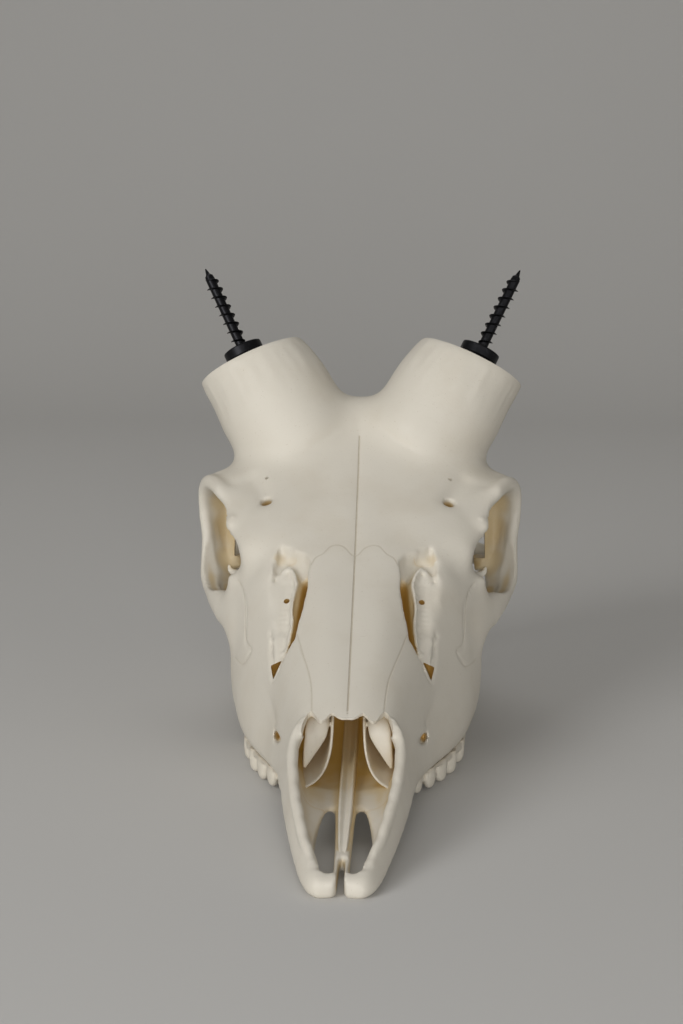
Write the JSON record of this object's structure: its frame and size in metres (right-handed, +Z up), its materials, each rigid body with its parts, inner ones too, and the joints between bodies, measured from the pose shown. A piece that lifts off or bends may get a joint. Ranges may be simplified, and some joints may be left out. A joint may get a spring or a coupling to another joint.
{
  "type": "deer skull mount",
  "caption": "Cast deer skull without a lower jaw, whose thick pedicles carry collars and screws for mounting shed antlers.",
  "frame": {"origin": "middle of the skull's footprint, on the table that it rests on", "axes": "+X towards the animal's left, +Y from the nose to the back of the head, +Z up"},
  "size_m": [0.1226, 0.2737, 0.1637],
  "materials": {
    "cast_bone": "bone-coloured casting resin, satin",
    "cast_teeth": "casting resin with a brown wash, satin",
    "black_steel": "black oxide, satin"
  },
  "bodies": {
    "root": {"braincase": "cast_bone", "forehead": "cast_bone", "muzzle": "cast_bone", "nasal_left": "cast_bone", "nasal_right": "cast_bone", "premaxilla_left": "cast_bone", "premaxilla_right": "cast_bone", "pedicle_left": "cast_bone", "pedicle_right": "cast_bone", "cheekbone_left": "cast_bone", "cheekbone_right": "cast_bone", "turbinate_left": "cast_bone", "turbinate_right": "cast_bone", "vomer": "cast_bone", "teeth_left": "cast_teeth", "teeth_right": "cast_teeth", "collar_left": "black_steel", "collar_right": "black_steel", "screw_left": "black_steel", "screw_right": "black_steel"}
  },
  "joints": []
}
